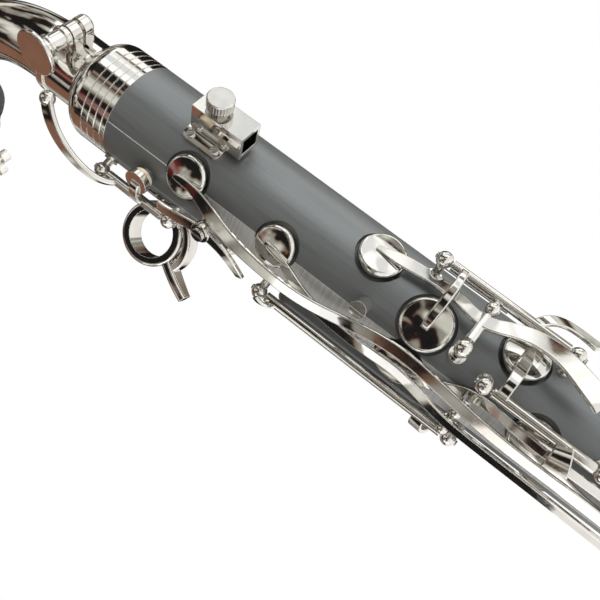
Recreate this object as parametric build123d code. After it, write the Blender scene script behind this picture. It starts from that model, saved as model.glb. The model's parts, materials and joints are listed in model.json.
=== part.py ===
from build123d import *
import os
from math import cos, pi, radians, sin, sqrt

# A bass clarinet: metal neck, black upper and lower joints, upturned bell and plated keys.
#
# Frame (millimetres): the origin is on the instrument's axis at the top face of the upper
# joint, +Z runs up the tube towards the neck, and the front of the instrument faces -Y.
# A place on the tube is written (angle, z, radius). The angle is measured round the axis
# from the front, positive towards +X (the player's left) and negative towards the
# player's right, so 180 is the back, where the thumb goes.

# ---------------------------------------------------------------- driving dimensions
BODY_R = 18.5               # outside radius of the upper joint
LOWER_R = 19.5              # outside radius of the lower joint
BORE_R = 11.75              # bore radius of both joints
UPPER_LENGTH = 330.0
LOWER_LENGTH = 400.0
JOINT_Z = -UPPER_LENGTH     # plane where the two joints meet
LOWER_END_Z = JOINT_Z - LOWER_LENGTH
TENON_LENGTH = 26.0
TENON_R = 14.6
SOCKET_GAP = 0.05
CORK_THICK = 0.9
FLAT_ANGLE = -82.0          # flat milled on the upper joint under the trill levers
FLAT_RADIUS = 17.4
FLAT_TOP_Z = -44.0
FLAT_LENGTH = 176.0

ROD_R = 0.9                 # steel hinge rods
RUNNING_GAP = 0.05          # radial clearance of a key tube on its rod
TUBE_R = 1.75               # outside radius of a key's hinge tube
POST_BALL_R = 2.7
SMALL_BALL_R = 1.9          # posts of the cross pivots
END_GAP = 0.25              # axial gap between a key tube and its post

PAD_THICK = 2.0
PAD_GAP = 0.12              # between a closed pad and its seat
SEAT_HEIGHT = 1.0           # raised rim round a small tone hole
CHIMNEY_HEIGHT = 1.8        # rise of a large tone hole's chimney above the tube
CUP_WALL = 0.6
CUP_DEPTH = 2.9             # from a cup's open rim to its crown
RIM_DROP = 0.7              # a pad stands this much proud of its cup
RECESS_GAP = 0.9            # width of the moat round a small cup
STRAP_THICK = 1.3
STRAP_STEP = 7.0            # spacing of the sections that shape a lever
OPEN_TURN = 7.5             # angle by which the large keys stand open at rest
SPRING_R = 0.25             # needle springs
SPRING_LENGTH = 24.0
SPRING_DROP = 2.5           # depth of a spring below its hinge line
SPRING_GRIP = 0.3           # distance of a spring's fixed end from the post's centre

FERRULE_LENGTH = 13.6
SHOULDER_END_Z = 21.0
RECEIVER_R = 12.9
RECEIVER_TOP_Z = 36.5
RECEIVER_SLIT = 1.4
NECK_R = 12.0
NECK_TIP_R = 9.6            # the neck tapers along its bend
NECK_WALL = 0.9
NECK_BEND_Z = 37.5
NECK_BEND_R = 60.0
NECK_BEND_ANGLE = 72.0
NECK_REACH = 46.0           # straight part of the neck after its bend
NECK_CORK_LENGTH = 20.0
NECK_FOOT_GAP = 0.3         # between the neck's lower end and the step in its socket
NECK_SECTIONS = 6
LOCK_SCREW_Z = 29.8
LOCK_SCREW_OUT = 17.6       # distance of the lock screw in front of the axis

MOUTHPIECE_LENGTH = 89.0
MOUTHPIECE_R = 14.0
REED_TABLE = 11.0           # distance of the flat reed table from the mouthpiece's axis
REED_THICK = 2.8
REED_WIDTH = 13.0
CLAMP_Y = 19.4              # distance of the ligature screws from the mouthpiece axis

BELL_BEND_R = 62.0
BELL_BEND_ANGLE = 138.0
BELL_DROP = 62.0            # straight part of the bell above its bend
BELL_WALL = 0.9
BELL_START_R = BORE_R
BELL_MOUTH_R = 66.0
BELL_TOP_Z = LOWER_END_Z - 1.0
BELL_COLLAR_R = 18.4

PEG_R = 4.0
PEG_Y = 30.0                # the floor peg runs behind the bell's tube
PEG_SOCKET_TOP_Z = -757.0
PEG_SOCKET_LENGTH = 40.0
PEG_TOP_Z = -738.0
PEG_LENGTH = 190.0

nodes = {}


# ---------------------------------------------------------------- places and simple forms
def outward(angle):
    """Unit vector pointing out of the tube at an angle round it."""
    return Vector(sin(radians(angle)), -cos(radians(angle)), 0)


def spot(angle, z, radius):
    """Point at an angle round the tube, a height and a distance from the axis."""
    return outward(angle) * radius + Vector(0, 0, z)


def station(angle, z, radius=0.0):
    """Plane on the tube: local x runs up the tube and local z points outward."""
    return Plane(origin=spot(angle, z, radius), x_dir=(0, 0, 1), z_dir=outward(angle))


def pillar(radius, low, high):
    """Cylinder on local z between two heights."""
    low_align = (Align.CENTER, Align.CENTER, Align.MIN)
    return Pos(0, 0, low) * Cylinder(radius, high - low, align=low_align)


def sleeve(outer, inner, low, high):
    """Tube on local z between two heights."""
    return pillar(outer, low, high) - pillar(inner, low, high)


def bar(start, end, radius):
    """Round bar between two points."""
    run = end - start
    plane = Plane(origin=start, z_dir=run.normalized())
    return plane * pillar(radius, 0, run.length)


def upright(angle, radius, z_low, z_high, r):
    """Round bar parallel to the instrument's axis."""
    return bar(spot(angle, z_low, radius), spot(angle, z_high, radius), r)


def between(values, share):
    """Value at a share (0 to 1) of the way along a list of evenly spread values."""
    place = share * (len(values) - 1)
    i = min(int(place), len(values) - 2)
    return values[i] + (values[i + 1] - values[i]) * (place - i)


def strap(points, widths, thickness=STRAP_THICK):
    """Flat lever lofted along a smooth line through (angle, z, radius) points.

    Its broad face is outward. The sections are evenly spaced so that the sides stay smooth.
    """
    centres = [spot(*point) for point in points]
    line = Spline(centres)
    count = max(3, 1 + round(line.length / STRAP_STEP))
    sections = []
    for i in range(count):
        share = i / (count - 1)
        centre = line @ share
        ahead = (line % share).normalized()
        away = Vector(centre.X, centre.Y, 0).normalized()
        side = ahead.cross(away).normalized()
        plane = Plane(origin=centre, x_dir=side, z_dir=ahead)
        width = between(widths, share)
        sections.append(plane * RectangleRounded(width, thickness, 0.3 * min(width, thickness)))
    return loft(sections)


def group(*shapes):
    """One compound of separate solids, for a node that holds several pieces."""
    found = []
    for shape in shapes:
        found.extend(shape.solids())
    return Compound(children=found)


def fused(shape):
    """The main solid of a fused piece."""
    return sorted(shape.solids(), key=lambda solid: solid.volume)[-1]


# ---------------------------------------------------------------- cups, pads and tone holes
def recess_floor(cup_r):
    """Distance from the axis to the flat floor milled under a small cup."""
    return sqrt(BODY_R ** 2 - (cup_r + RECESS_GAP) ** 2) - 0.5


def small_seat(cup_r):
    """Height of the raised rim under a small cup that sits in a recess."""
    return recess_floor(cup_r) + SEAT_HEIGHT


def recessed_hole(angle, z, cup_r):
    """What is milled away for a small tone hole: a moat round a raised rim, and the hole."""
    floor = recess_floor(cup_r)
    moat = sleeve(cup_r + RECESS_GAP, 0.66 * cup_r, floor, BODY_R + 6)
    above_rim = pillar(0.7 * cup_r, floor + SEAT_HEIGHT, BODY_R + 6)
    hole = pillar(0.5 * cup_r, 0, BODY_R)
    return station(angle, z) * (moat + above_rim + hole)


def cup(angle, z, cup_r, seat):
    """Pad cup with a crowned top and a rounded rim, hollow underneath for its pad."""
    rim = seat + PAD_GAP + RIM_DROP
    top = rim + CUP_DEPTH
    crown = 0.5
    bend = 1.2
    shoulder = (cup_r - bend, top - crown)
    corner = (cup_r - bend + bend * sin(pi / 4), top - crown - bend + bend * cos(pi / 4))
    side = (cup_r, top - crown - bend)
    crown_middle = ((cup_r - bend) / 2, top - crown * 0.25)
    outline = Line((0, rim), (0, top))
    outline += ThreePointArc((0, top), crown_middle, shoulder)
    outline += ThreePointArc(shoulder, corner, side)
    outline += Polyline(side, (cup_r, rim), (0, rim))
    shell = revolve(Plane.XZ * make_face(outline), Axis.Z)
    shell -= pillar(cup_r - CUP_WALL, rim, rim + PAD_THICK - RIM_DROP)
    return station(angle, z) * shell


def pad(angle, z, cup_r, seat):
    """Soft pad in a cup, its face just above the seat when the key is closed."""
    face = seat + PAD_GAP
    body = pillar(cup_r - CUP_WALL - 0.05, face, face + PAD_THICK - 0.02)
    body = fillet(body.edges().sort_by(Axis.Z)[0], 0.5)
    return station(angle, z) * body


# ---------------------------------------------------------------- posts, rods and key tubes
def ball_post(angle, z, radius, tube_r=BODY_R, ball_r=POST_BALL_R):
    """Post on the tube with a ball head for a rod that runs along the instrument."""
    stem = pillar(0.56 * ball_r, tube_r - 1, radius)
    foot = pillar(ball_r - 0.1, tube_r - 3, tube_r + 0.9)
    post = station(angle, z) * (stem + foot + Pos(0, 0, radius) * Sphere(ball_r))
    return post - upright(angle, radius, z - 5, z + 5, ROD_R)


def across(angle, z, height, low, high, r):
    """Round bar across the tube, from low to high along increasing angle."""
    sideways = Vector(cos(radians(angle)), sin(radians(angle)), 0)
    middle = spot(angle, z, height)
    return bar(middle + sideways * low, middle + sideways * high, r)


def cross_post(angle, z, height, offset, ball_r=SMALL_BALL_R, tube_r=BODY_R):
    """Post with a ball head for a rod that lies across the tube."""
    stem = Pos(0, -offset, 0) * pillar(0.56 * ball_r, tube_r - 4, height)
    foot = Pos(0, -offset, 0) * pillar(ball_r, tube_r - 5, tube_r - 0.4)
    ball = Pos(0, -offset, height) * Sphere(ball_r)
    post = station(angle, z) * (stem + foot + ball)
    return post - across(angle, z, height, offset - 5, offset + 5, ROD_R)


def hinge_tube(angle, radius, z_high, z_low):
    """Hinge tube of a key between two posts, with a gap at each end."""
    return upright(angle, radius, z_low + POST_BALL_R + END_GAP, z_high - POST_BALL_R - END_GAP, TUBE_R)


def bored(key, angle, radius, z_high, z_low):
    """A key with the running bore for its rod cut through it."""
    return fused(key - upright(angle, radius, z_low - 1, z_high + 1, ROD_R + RUNNING_GAP))


# ---------------------------------------------------------------- layout of the keywork
# Small closed cups on the upper joint: name, angle, z, cup radius
SMALL_CUPS = {
    "trill_key_1": (-58.0, -34.2, 7.3),
    "trill_key_2": (-60.0, -71.4, 7.0),
    "trill_key_3": (-86.0, -123.4, 8.0),
    "trill_key_4": (-60.0, -168.0, 7.3),
    "throat_a_key": (-4.0, -100.0, 7.8),
    "throat_gsharp_key": (-33.0, -123.5, 8.5),
    "cross_vent_key": (0.0, -152.5, 7.7),
}
# Rod lines parallel to the axis: angle, radius, z of the top post, z of the bottom post
THROAT_LINE = (14.0, 26.0, -116.0, -163.5)
VENT_LINE = (-43.0, 25.6, -147.0, -187.0)
THUMB_LINE = (146.0, 25.4, -165.0, -200.0)
REGISTER_NECK_LINE = (-114.0, 23.8, -2.6, -33.0)
REGISTER_THUMB_LINE = (-116.0, 23.6, -73.0, -150.0)
# Ridge on the back of the upper joint
RIDGE_ANGLE = -142.0
RIDGE_TOP_Z = -77.0
RIDGE_LENGTH = 72.0
RIDGE_WIDTH = 12.0
RIDGE_DEPTH = 8.0
RIDGE_R = 22.6              # distance of its crest from the axis
RIDGE_CORNER = 5.0
RIDGE_ROUND = 2.6
FINGER_LINE = (31.0, 26.6, (-178.0, -216.0, -254.0, -292.0))
LEFT_LOW_LINES = {"left_low_e_lever": (64.0, 25.0), "left_low_f_sharp_lever": (88.0, 25.0)}
LEFT_LOW_POSTS = (-196.0, -318.0)
FINGER_CUP = (-6.0, 11.0)             # angle and radius of the finger plates
FINGER_PLATES = {"first_finger_plate": 0, "second_finger_plate": 1, "third_finger_plate": 2}
RIGHT_LINE = (36.0, 28.6, (-354.0, -395.0, -436.0, -477.0))
RIGHT_PLATES = {"fourth_finger_plate": 0, "fifth_finger_plate": 1, "sixth_finger_plate": 2}
# Low keys on the lower joint: rod angle, cup z, bottom post z, touch angle, touch z
LOW_KEYS = {
    "low_f_key": (-62.0, -535.0, -556.0, -26.0, -497.0),
    "low_e_key": (62.0, -592.0, -613.0, 24.0, -497.0),
    "low_e_flat_key": (-88.0, -649.0, -670.0, -40.0, -512.0),
}
LOW_LINE_R = 28.5
LOW_CUP_R = 14.5
THUMB_CUP_R = 8.5
LOW_POST_Z = -490.0
REGISTER_VENT = (-88.0, -20.0)        # angle and z of the small vent chimney
REGISTER_PIVOT = (-83.0, -49.0)       # angle and z of the rocker's screw
# Cross pivots of the rocking keys: angle, z, height of the rod above the axis
TRILL_PAIR_PIVOT = (-75.0, -146.0, 23.3)
TRILL_3_PIVOT = (-55.0, -197.0, 22.6)
TRILL_4_PIVOT = (-72.0, -214.0, 20.4)
THROAT_A_PIVOT = (-14.0, -136.0, 24.5)


# ---------------------------------------------------------------- the tube of the instrument
def with_chimney(body, angle, z, cup_r, tube_r):
    """The tube with one large tone hole and the raised chimney round it."""
    hole_place = station(angle, z)
    body += hole_place * pillar(0.78 * cup_r, BORE_R + 2, tube_r + CHIMNEY_HEIGHT)
    return body - hole_place * pillar(0.6 * cup_r, 0, tube_r + CHIMNEY_HEIGHT + 4)


def back_ridge():
    """Raised ridge on the back of the upper joint, beside the register key's long rod."""
    ridge = Box(RIDGE_LENGTH, RIDGE_WIDTH, RIDGE_DEPTH)
    ridge = fillet(ridge.edges().filter_by(Axis.Z), RIDGE_CORNER)
    ridge = fillet(ridge.faces().sort_by(Axis.Z)[-1].edges(), RIDGE_ROUND)
    return station(RIDGE_ANGLE, RIDGE_TOP_Z - RIDGE_LENGTH / 2, RIDGE_R - RIDGE_DEPTH / 2) * ridge


def make_upper_joint():
    body = sleeve(BODY_R, BORE_R, JOINT_Z, 0) + back_ridge()
    body += sleeve(TENON_R, BORE_R, JOINT_Z - TENON_LENGTH, JOINT_Z)
    body -= sleeve(TENON_R + 1, TENON_R - CORK_THICK, JOINT_Z - TENON_LENGTH + 4, JOINT_Z - 4)
    body -= pillar(14.2, -16, 1)
    flat_middle = FLAT_TOP_Z - FLAT_LENGTH / 2
    flat = station(FLAT_ANGLE, flat_middle, FLAT_RADIUS + 4) * Box(FLAT_LENGTH, 30, 8)
    body -= flat
    for angle, z, cup_r in SMALL_CUPS.values():
        body -= recessed_hole(angle, z, cup_r)
    holes = [(180.0, (THUMB_LINE[2] + THUMB_LINE[3]) / 2, THUMB_CUP_R)]
    for i in range(3):
        holes.append((FINGER_CUP[0], (FINGER_LINE[2][i] + FINGER_LINE[2][i + 1]) / 2, FINGER_CUP[1]))
    for place in holes:
        body = with_chimney(body, *place, BODY_R)
    body += station(*REGISTER_VENT) * pillar(2.6, BORE_R + 2, 20.0)
    body -= station(*REGISTER_VENT) * pillar(1.2, 0, 21)
    body -= pillar(BORE_R, JOINT_Z - TENON_LENGTH - 1, 1)
    return fused(body)


def make_lower_joint():
    socket_floor = JOINT_Z - TENON_LENGTH - 0.5
    body = sleeve(LOWER_R, BORE_R, LOWER_END_Z, JOINT_Z)
    body -= pillar(TENON_R + SOCKET_GAP, socket_floor, JOINT_Z + 1)
    body += sleeve(TENON_R, BORE_R, LOWER_END_Z - 22, LOWER_END_Z)
    body -= sleeve(TENON_R + 1, TENON_R - CORK_THICK, LOWER_END_Z - 18, LOWER_END_Z - 4)
    holes = [(0.0, (RIGHT_LINE[2][i] + RIGHT_LINE[2][i + 1]) / 2, FINGER_CUP[1]) for i in range(3)]
    holes += [(0.0, low[1], LOW_CUP_R) for low in LOW_KEYS.values()]
    for place in holes:
        body = with_chimney(body, *place, LOWER_R)
    body -= pillar(BORE_R, LOWER_END_Z - 23, JOINT_Z + 1)
    return fused(body)


def make_joint_rings():
    """Metal bands round the ends of the joints."""
    middle = sleeve(LOWER_R + 1.6, LOWER_R, JOINT_Z - 20, JOINT_Z - 0.4)
    middle = fillet(middle.edges().filter_by(GeomType.CIRCLE).group_by(SortBy.RADIUS)[-1], 0.6)
    top = sleeve(BODY_R + 0.9, BODY_R, JOINT_Z + 0.4, JOINT_Z + 9)
    bottom = sleeve(LOWER_R + 1.2, LOWER_R, LOWER_END_Z, LOWER_END_Z + 16)
    return group(middle, top, bottom)


def make_tenon_corks():
    upper = sleeve(TENON_R, TENON_R - CORK_THICK, JOINT_Z - TENON_LENGTH + 4, JOINT_Z - 4)
    lower = sleeve(TENON_R, TENON_R - CORK_THICK, LOWER_END_Z - 18, LOWER_END_Z - 4)
    return group(upper, lower)


def make_neck_receiver():
    """Ferrule on the upper joint, rounded down to the split tube that grips the neck."""
    inner = NECK_R + 0.02
    outline = Polyline((inner, 0), (BODY_R, 0), (BODY_R, FERRULE_LENGTH))
    shoulder_mid = (BODY_R - 1.6, FERRULE_LENGTH + 4.1)
    shoulder_end = (RECEIVER_R + 1.2, SHOULDER_END_Z - 1.2)
    outline += ThreePointArc((BODY_R, FERRULE_LENGTH), shoulder_mid, shoulder_end)
    outline += ThreePointArc(shoulder_end, (RECEIVER_R + 0.3, SHOULDER_END_Z - 0.3),
                             (RECEIVER_R, SHOULDER_END_Z + 1))
    outline += Polyline((RECEIVER_R, SHOULDER_END_Z + 1), (RECEIVER_R, RECEIVER_TOP_Z),
                        (inner, RECEIVER_TOP_Z), (inner, 0))
    shell = revolve(Plane.XZ * make_face(outline), Axis.Z)
    shell += sleeve(14.2, BORE_R, -16, 0.5)
    for i in range(4):
        groove_z = 1.8 + 2.8 * i
        shell -= sleeve(BODY_R + 1, BODY_R - 0.18, groove_z, groove_z + 0.35)
    near_lug = bar(Vector(-4.6, -LOCK_SCREW_OUT, LOCK_SCREW_Z), Vector(0, -LOCK_SCREW_OUT, LOCK_SCREW_Z), 3.5)
    far_lug = bar(Vector(0, -LOCK_SCREW_OUT, LOCK_SCREW_Z), Vector(5.2, -LOCK_SCREW_OUT, LOCK_SCREW_Z), 3.5)
    far_lug = fillet(far_lug.edges().sort_by(Axis.X)[-1], 1.6)
    web = Pos(0.3, -15.0, LOCK_SCREW_Z) * Box(8.4, 5.2, 6.4)
    top_band = sleeve(RECEIVER_R + 0.7, NECK_R + 0.5, RECEIVER_TOP_Z - 2.4, RECEIVER_TOP_Z)
    shell += near_lug + far_lug + web + top_band
    slit_height = RECEIVER_TOP_Z - SHOULDER_END_Z
    shell -= Pos(0, -17, SHOULDER_END_Z + slit_height / 2 + 1) * Box(RECEIVER_SLIT, 20, slit_height)
    shell -= bar(Vector(-9, -LOCK_SCREW_OUT, LOCK_SCREW_Z), Vector(4.2, -LOCK_SCREW_OUT, LOCK_SCREW_Z), 1.55)
    shell -= pillar(inner, 0, RECEIVER_TOP_Z + 1)
    return fused(shell)


def make_neck_lock_screw():
    """Thumb screw of the neck clamp: a broad flat disc on a ringed barrel."""
    axis = Plane(origin=(0, -LOCK_SCREW_OUT, LOCK_SCREW_Z), x_dir=(0, 1, 0), z_dir=(1, 0, 0))
    disc = pillar(8.0, -18.9, -17.2)
    disc = fillet(disc.edges(), 0.6)
    barrel = pillar(3.2, -17.4, -4.9) + pillar(3.9, -13.6, -12.6) + pillar(3.9, -7.2, -5.8)
    shank = pillar(1.5, -5, 3.8)
    return fused(axis * (disc + barrel + shank))


def neck_place(turn):
    """Cross plane of the neck's bend after a turn: local z leads on, and x crosses the bend."""
    rise = Vector(0, NECK_BEND_R * (1 - cos(turn)), NECK_BEND_Z + NECK_BEND_R * sin(turn))
    return Plane(origin=rise, x_dir=(1, 0, 0), z_dir=(0, sin(turn), cos(turn)))


def neck_form(shrink):
    """Solid neck, smaller all round by shrink and longer by it at both ends."""
    whole_turn = radians(NECK_BEND_ANGLE)
    sections = []
    for step in range(NECK_SECTIONS + 1):
        part = step / NECK_SECTIONS
        radius = NECK_R + (NECK_TIP_R - NECK_R) * part - shrink
        sections.append(neck_place(whole_turn * part) * Circle(radius))
    form = loft(sections)
    form += pillar(NECK_R - shrink, NECK_FOOT_GAP - shrink, NECK_BEND_Z)
    form += neck_place(whole_turn) * pillar(NECK_TIP_R - shrink, 0, NECK_REACH + shrink)
    return form


def neck_end():
    """Plane at the neck's open end: local z leads on, and local y faces the reed side."""
    last = neck_place(radians(NECK_BEND_ANGLE))
    return Plane(origin=last.origin + last.z_dir * NECK_REACH, x_dir=(1, 0, 0), z_dir=last.z_dir)


def make_neck_tube():
    tube = neck_form(0) - neck_form(NECK_WALL)
    rim_z = -NECK_CORK_LENGTH - 0.4
    tube += neck_end() * sleeve(NECK_TIP_R + 0.8, NECK_TIP_R - 0.2, rim_z - 3.1, rim_z)
    collar_low = RECEIVER_TOP_Z + 0.3
    tube += sleeve(NECK_R + 1.4, NECK_R - 0.2, collar_low, collar_low + 0.7)
    return fused(tube)


def make_neck_cork():
    return neck_end() * sleeve(NECK_TIP_R + 1.0, NECK_TIP_R, -NECK_CORK_LENGTH, -0.6)


# ---------------------------------------------------------------- mouthpiece, reed, ligature
def mouthpiece_plane():
    end = neck_end()
    return Plane(origin=end.origin - end.z_dir * (NECK_CORK_LENGTH - 1.5), x_dir=end.x_dir, z_dir=end.z_dir)


def make_mouthpiece():
    beak_start = 52.0
    shank = pillar(15.4, 0, 27) + pillar(16.0, 0, 3.5) + pillar(16.0, 22, 25)
    barrel = pillar(MOUTHPIECE_R, 26, MOUTHPIECE_LENGTH)
    body = shank + barrel
    table_length = MOUTHPIECE_LENGTH - 28
    table = Pos(0, REED_TABLE + 5, 28 + table_length / 2 + 1) * Box(40, 10, table_length + 2)
    body -= table
    beak_low = -MOUTHPIECE_R - 2
    tip_y = REED_TABLE - 1.2
    slope = Polyline((beak_low, beak_start), (tip_y, MOUTHPIECE_LENGTH), (tip_y, MOUTHPIECE_LENGTH + 2),
                     (beak_low - 6, MOUTHPIECE_LENGTH + 2), (beak_low - 6, beak_start),
                     (beak_low, beak_start))
    wedge = extrude(Plane.YZ * make_face(slope), 20, both=True)
    body -= wedge
    for side in (-1, 1):
        cheek = Rot(0, side * 9, 0) * Box(10, 60, 80)
        body -= Pos(side * 16.4, 0, 86) * cheek
    bore = pillar(NECK_TIP_R + 1.0, -1, 22) + pillar(8.5, 20, 40)
    window = Pos(0, 5, 60) * Box(10.5, 14, 48)
    return fused(body - bore - window)


def make_reed():
    """Cane reed: a flat slab cut down to a thin tip."""
    base = REED_TABLE + 0.02
    heel_z = 30.0
    tip_z = MOUTHPIECE_LENGTH - 0.4
    side = Polyline((base, heel_z), (base + REED_THICK, heel_z), (base + REED_THICK, heel_z + 32),
                    (base + 0.35, tip_z), (base, tip_z), (base, heel_z))
    return fused(extrude(Plane.YZ * make_face(side), REED_WIDTH / 2, both=True))


LIGATURE_SCREW_Z = (38.5, 52.5)


def ligature_outline(grow):
    round_part = Circle(MOUTHPIECE_R + grow)
    reed_part = Pos(0, REED_TABLE / 2 + 1) * RectangleRounded(REED_WIDTH + 2 * grow + 1.2,
                                                              REED_TABLE + 2 * REED_THICK + 2 * grow + 0.4, 0.8)
    return round_part + reed_part


def make_ligature_band():
    low, high = 33.0, 58.0
    band = extrude(ligature_outline(0.95) - ligature_outline(0.12), high - low)
    band = Pos(0, 0, low) * band
    for z in LIGATURE_SCREW_Z:
        for side in (-1, 1):
            lug = bar(Vector(side * 4.6, CLAMP_Y, z), Vector(side * 1.0, CLAMP_Y, z), 2.0)
            lug += Pos(side * 2.8, CLAMP_Y - 2.0, z) * Box(3.4, 3.6, 3.4)
            band += lug
        band -= bar(Vector(-6, CLAMP_Y, z), Vector(6, CLAMP_Y, z), 1.05)
    band -= Pos(0, 0, low - 1) * extrude(ligature_outline(0.12), high - low + 2)
    return fused(band)


def make_ligature_screw(z):
    shank = bar(Vector(-5.4, CLAMP_Y, z), Vector(6.4, CLAMP_Y, z), 1.0)
    head = bar(Vector(6.2, CLAMP_Y, z), Vector(10.4, CLAMP_Y, z), 2.9)
    for i in range(16):
        notch_angle = 2 * pi * i / 16
        notch_y = CLAMP_Y + 2.95 * cos(notch_angle)
        notch_z = z + 2.95 * sin(notch_angle)
        head -= bar(Vector(6, notch_y, notch_z), Vector(11, notch_y, notch_z), 0.22)
    return fused(shank + head)


# ---------------------------------------------------------------- bell and floor peg
def bell_sections(shrink, past=0.0):
    """Circles along the bell's bent axis, shrunk by a wall and run past both ends."""
    bend_z = BELL_TOP_Z - BELL_DROP
    sections = []
    for drop in (-past, 30.0, BELL_DROP):
        grow = 0.6 * drop / BELL_DROP
        plane = Plane(origin=(0, 0, BELL_TOP_Z - drop), x_dir=(1, 0, 0), z_dir=(0, 0, -1))
        sections.append(plane * Circle(BELL_START_R + 2.8 + grow - shrink))
    steps = 5
    for i in range(1, steps + 1):
        turn = radians(BELL_BEND_ANGLE * i / steps)
        centre = Vector(0, -BELL_BEND_R * (1 - cos(turn)), bend_z - BELL_BEND_R * sin(turn))
        ahead = Vector(0, -sin(turn), -cos(turn))
        radius = BELL_START_R + 3.4 + 17.0 * (i / steps) ** 1.6
        plane = Plane(origin=centre, x_dir=(1, 0, 0), z_dir=ahead)
        sections.append(plane * Circle(radius - shrink))
    turn = radians(BELL_BEND_ANGLE)
    centre = Vector(0, -BELL_BEND_R * (1 - cos(turn)), bend_z - BELL_BEND_R * sin(turn))
    ahead = Vector(0, -sin(turn), -cos(turn))
    for distance, radius in ((26.0, 43.0), (44.0, 55.0), (54.0 + past, BELL_MOUTH_R + 1.1 * past)):
        plane = Plane(origin=centre + ahead * distance, x_dir=(1, 0, 0), z_dir=ahead)
        sections.append(plane * Circle(radius - shrink))
    return sections


def make_bell():
    outer = loft(bell_sections(0))
    inner = loft(bell_sections(BELL_WALL, 1.5))
    collar = pillar(BELL_COLLAR_R, BELL_TOP_Z - 27, BELL_TOP_Z)
    shell = (outer + collar) - inner
    shell -= pillar(TENON_R + SOCKET_GAP, BELL_TOP_Z - 22, BELL_TOP_Z + 1)
    return fused(shell), outer


def make_peg_socket(bell_outer):
    low = PEG_SOCKET_TOP_Z - PEG_SOCKET_LENGTH
    tube = Pos(0, PEG_Y, 0) * sleeve(7.0, PEG_R + 0.06, low, PEG_SOCKET_TOP_Z)
    arm = Pos(0, PEG_Y / 2, low + 28) * Box(8, PEG_Y, 16)
    arm += Pos(0, PEG_Y / 2, low + 8) * Box(8, PEG_Y, 6)
    boss_start = Vector(0, PEG_Y + 4, low + 12)
    boss = bar(boss_start, boss_start + Vector(0, 7, 0), 4.0)
    socket = tube + arm + boss
    socket -= Pos(0, PEG_Y, 0) * pillar(PEG_R + 0.06, low - 1, PEG_SOCKET_TOP_Z + 1)
    socket -= bar(boss_start - Vector(0, 6, 0), boss_start + Vector(0, 9, 0), 2.05)
    socket -= bell_outer
    socket -= Pos(0, 0, LOWER_END_Z) * pillar(BELL_COLLAR_R + 0.05, -40, 10)
    return fused(socket)


def make_peg_thumbscrew():
    low = PEG_SOCKET_TOP_Z - PEG_SOCKET_LENGTH + 12
    start = Vector(0, PEG_Y + PEG_R + 0.1, low)
    stem = bar(start, start + Vector(0, 13, 0), 2.0)
    wing = Pos(0, PEG_Y + PEG_R + 17, low) * (Box(3.0, 12, 20))
    wing = fillet(wing.edges().filter_by(Axis.X), 3.0)
    collar = bar(start + Vector(0, 8, 0), start + Vector(0, 12, 0), 3.6)
    return fused(stem + collar + wing)


def make_floor_peg():
    rod = Pos(0, PEG_Y, 0) * pillar(PEG_R, PEG_TOP_Z - PEG_LENGTH, PEG_TOP_Z)
    return fused(chamfer(rod.edges().sort_by(Axis.Z)[-1], 1.0))


def make_peg_foot():
    low = PEG_TOP_Z - PEG_LENGTH - 6
    foot = Pos(0, PEG_Y, 0) * (pillar(8.0, low, low + 8) + pillar(6.0, low + 8, low + 18))
    foot = fillet(foot.edges().sort_by(Axis.Z)[-1], 1.0)
    return fused(foot - Pos(0, PEG_Y, 0) * pillar(PEG_R, low + 6, low + 20))


# ---------------------------------------------------------------- fittings on the joints
def screw_head(angle, z, radius, head_r=1.9):
    """Slotted cheese-head screw standing on a face of the tube."""
    head = pillar(head_r, radius, radius + 0.9)
    head = fillet(head.edges().sort_by(Axis.Z)[-1], 0.3)
    slot = Pos(0, 0, radius + 0.9) * (Rot(0, 0, 35) * Box(2 * head_r, 0.45, 0.8))
    return station(angle, z) * (head - slot)


def saddle(angle, spread, z_high, z_low, rise, tube_r=BODY_R):
    """Plate bent round the tube, spread degrees to each side of an angle."""
    shell = sleeve(tube_r + rise, tube_r, z_low, z_high)
    width = 2 * (tube_r + rise) * sin(radians(spread))
    window = station(angle, (z_high + z_low) / 2, tube_r + 5) * Box(z_high - z_low, width, 20)
    corner_edges = window.edges().filter_by(lambda edge: abs(edge.length - 20) < 0.01)
    return shell & fillet(corner_edges, 1.8)


LYRE_ANGLE = -3.0
LYRE_PLATE_Z = (-25.0, -40.0)
LYRE_SCREW_Z = -33.0


def make_lyre_holder():
    plate = saddle(LYRE_ANGLE, 25, *LYRE_PLATE_Z, 1.3)
    arch = saddle(LYRE_ANGLE, 12.5, *LYRE_PLATE_Z, 2.4)
    block = Box(20, 9.4, 9.2) - Box(21, 7.0, 6.4)
    holder = station(LYRE_ANGLE, -35.8, 24.6) * block
    holder += plate + arch
    holder -= station(LYRE_ANGLE, LYRE_SCREW_Z) * pillar(1.95, 25, 32)
    return fused(holder)


def make_lyre_thumbscrew():
    head = pillar(4.5, 30.9, 34.6)
    head = fillet(head.edges().sort_by(Axis.Z)[-1], 0.5)
    for i in range(28):
        turn = 2 * pi * i / 28
        head -= Pos(4.62 * cos(turn), 4.62 * sin(turn), 0) * pillar(0.3, 30, 34.0)
    stem = pillar(1.9, 25.2, 31)
    neck = pillar(2.8, 29.6, 31)
    return fused(station(LYRE_ANGLE, LYRE_SCREW_Z) * (head + stem + neck))


STRAP_ANGLE = -137.0
STRAP_RING_Z = -28.0
STRAP_RING_OUT = 31.0
STRAP_RING_R = 8.5


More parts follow.
